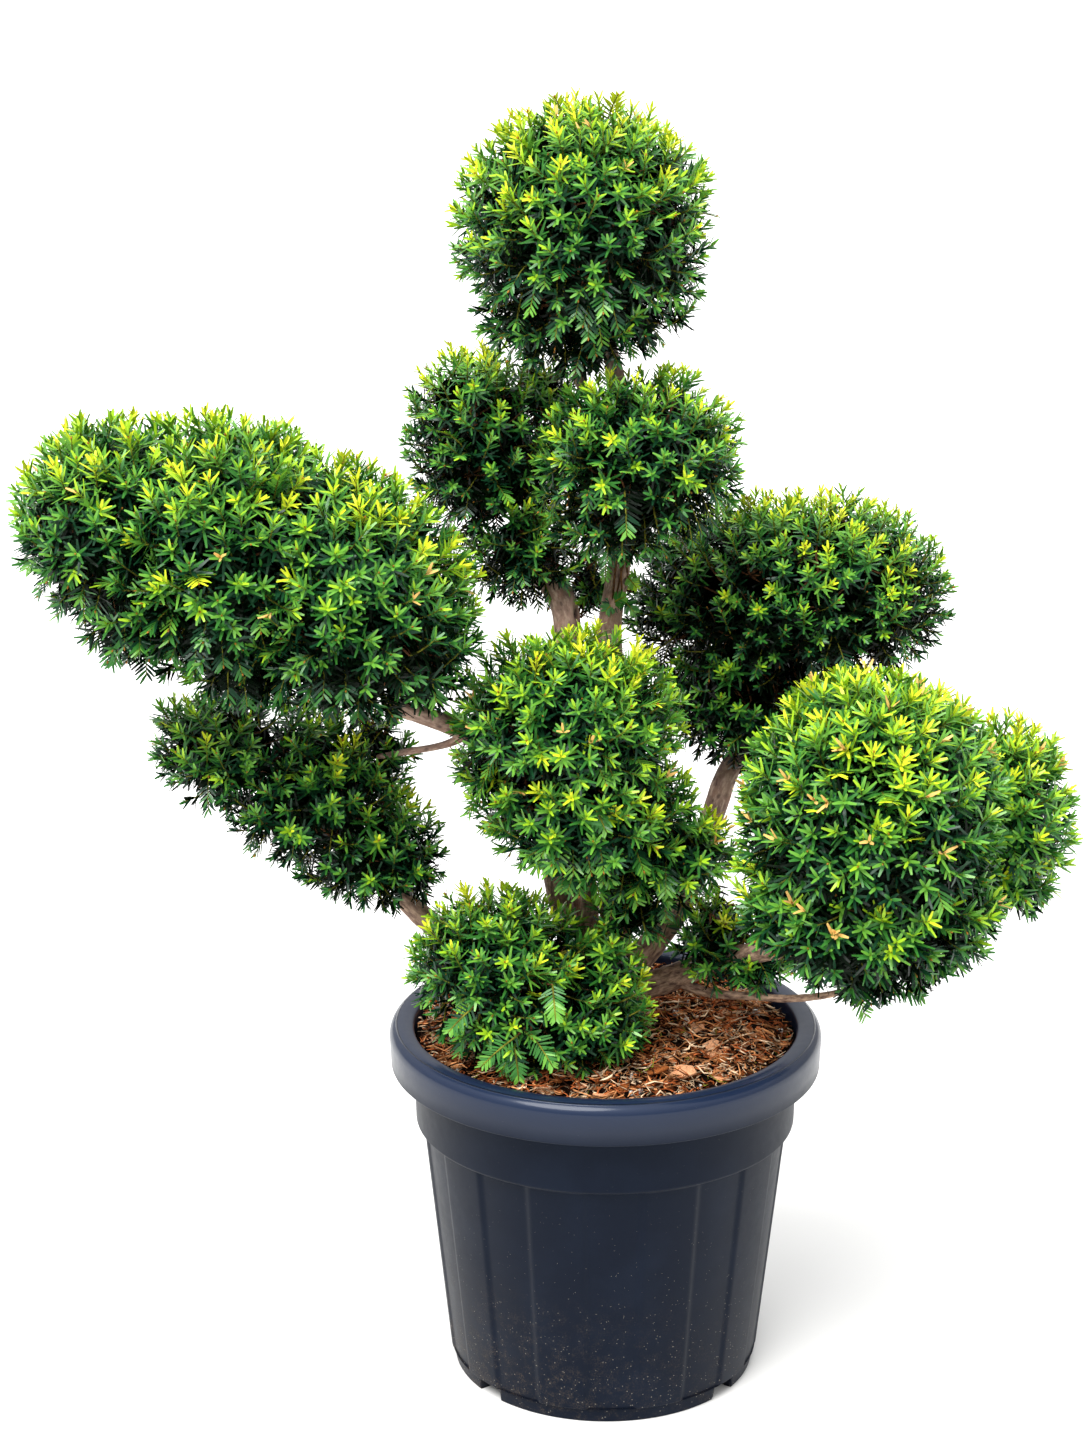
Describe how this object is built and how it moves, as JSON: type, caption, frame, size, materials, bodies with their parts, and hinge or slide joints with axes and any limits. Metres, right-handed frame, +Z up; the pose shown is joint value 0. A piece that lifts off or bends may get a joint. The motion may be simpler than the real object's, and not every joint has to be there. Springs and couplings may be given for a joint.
{
  "type": "anglo-japanese yew bonsai in a nursery pot",
  "caption": "Cloud-pruned yew with clipped round masses of needles on bare limbs, from a short trunk in a filled round nursery pot.",
  "frame": {"origin": "middle of the pot's flat underside, on the surface that it stands on", "axes": "+Z up along the pot's axis; the plant's front faces -Y, and its longest mass of needles reaches towards -X"},
  "size_m": [1.0969, 0.5517, 1.418],
  "materials": {
    "pot_plastic": "matte",
    "bark_mulch": "matte",
    "yew_bark": "matte",
    "yew_needles": "satin"
  },
  "bodies": {
    "root": {"pot": "pot_plastic", "soil": "bark_mulch", "trunk": "yew_bark", "leader_right": "yew_bark", "leader_left": "yew_bark", "stem_top": "yew_bark", "bough_left": "yew_bark", "bough_left_low": "yew_bark", "twig_left": "yew_bark", "bough_right_back": "yew_bark", "bough_right_front": "yew_bark", "bough_right_side": "yew_bark", "bough_right_thin": "yew_bark", "bough_front": "yew_bark", "bough_low_front": "yew_bark", "foliage_top": "yew_needles", "foliage_tier_left": "yew_needles", "foliage_tier_right": "yew_needles", "foliage_left": "yew_needles", "foliage_left_low": "yew_needles", "foliage_front": "yew_needles", "foliage_low_front": "yew_needles", "foliage_right_back": "yew_needles", "foliage_right_front": "yew_needles", "foliage_right_side": "yew_needles", "foliage_right_low": "yew_needles"}
  },
  "joints": []
}
